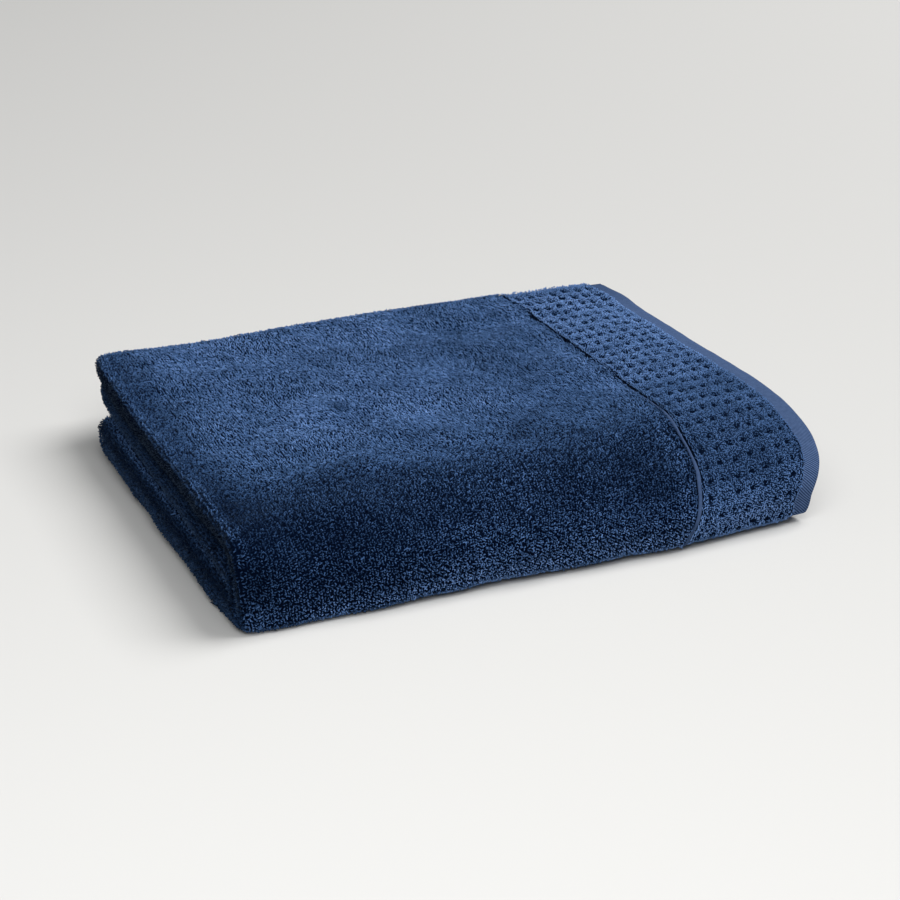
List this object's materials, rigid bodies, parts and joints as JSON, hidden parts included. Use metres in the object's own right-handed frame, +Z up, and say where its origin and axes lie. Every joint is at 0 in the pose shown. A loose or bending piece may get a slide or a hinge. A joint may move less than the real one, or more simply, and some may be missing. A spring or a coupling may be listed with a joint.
{
  "type": "folded bath sheet",
  "caption": "Large terry bath sheet folded into a flat stack, with a woven waffle-like border and a flat turned hem at one end of the outer layer.",
  "frame": {"origin": "middle of the stack's bounding box, on the surface it rests on", "axes": "+X from the left crease towards the end with the woven border and hem, +Y from the rounded front fold towards the open selvedges at the back, +Z up"},
  "size_m": [0.5664, 0.4712, 0.0837],
  "materials": {
    "terry": "matt looped cotton pile, navy blue"
  },
  "bodies": {
    "root": {"folded_sheet": "terry"}
  },
  "joints": []
}
